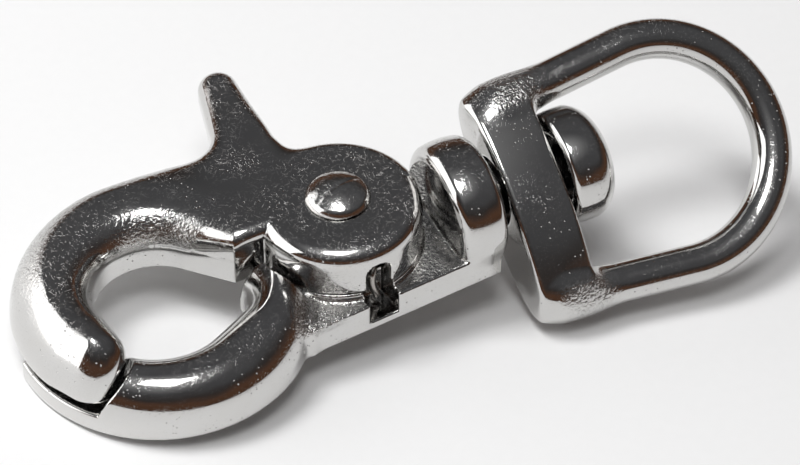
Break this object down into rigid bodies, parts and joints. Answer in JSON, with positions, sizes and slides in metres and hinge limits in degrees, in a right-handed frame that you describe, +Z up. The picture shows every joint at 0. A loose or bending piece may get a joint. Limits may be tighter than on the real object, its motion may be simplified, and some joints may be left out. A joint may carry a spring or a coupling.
{
  "type": "swivel snap hook",
  "caption": "Cast metal trigger snap hook: a sprung lever closes a round hook, and a loose swivel eye turns on a stem with a button head.",
  "frame": {"origin": "on the table, in the middle of the hook's outline seen from above, as it lies at rest", "axes": "+X from the round hook towards the swivel eye, +Y towards the thumb horn, +Z up from the table"},
  "size_m": [0.0796, 0.036, 0.0205],
  "materials": {
    "plated_casting": "bright nickel plate over a zinc casting",
    "plated_rivet": "bright nickel plate",
    "spring_wire": "drawn steel wire"
  },
  "bodies": {
    "hook": {"body": "plated_casting", "pivot_rivet": "plated_rivet", "torsion_spring": "spring_wire"},
    "lever": {"lever": "plated_casting"},
    "eye": {"swivel_eye": "plated_casting"}
  },
  "joints": [
    {"name": "lever_hinge", "type": "hinge", "parent": "hook", "child": "lever", "pos_m": [-0.00724, -0.00378, 0.0098], "axis": [-0.1173, 0, 0.9931], "range_deg": [-30, 0], "stiffness_Nm_per_rad": 0.05, "springref_deg": 51.57, "deforming": ["torsion_spring"]},
    {"name": "swivel_spin", "type": "hinge", "parent": "hook", "child": "eye", "pos_m": [0.01079, -0.00577, 0.01062], "axis": [0.9931, 0, 0.1173], "continuous": true}
  ]
}
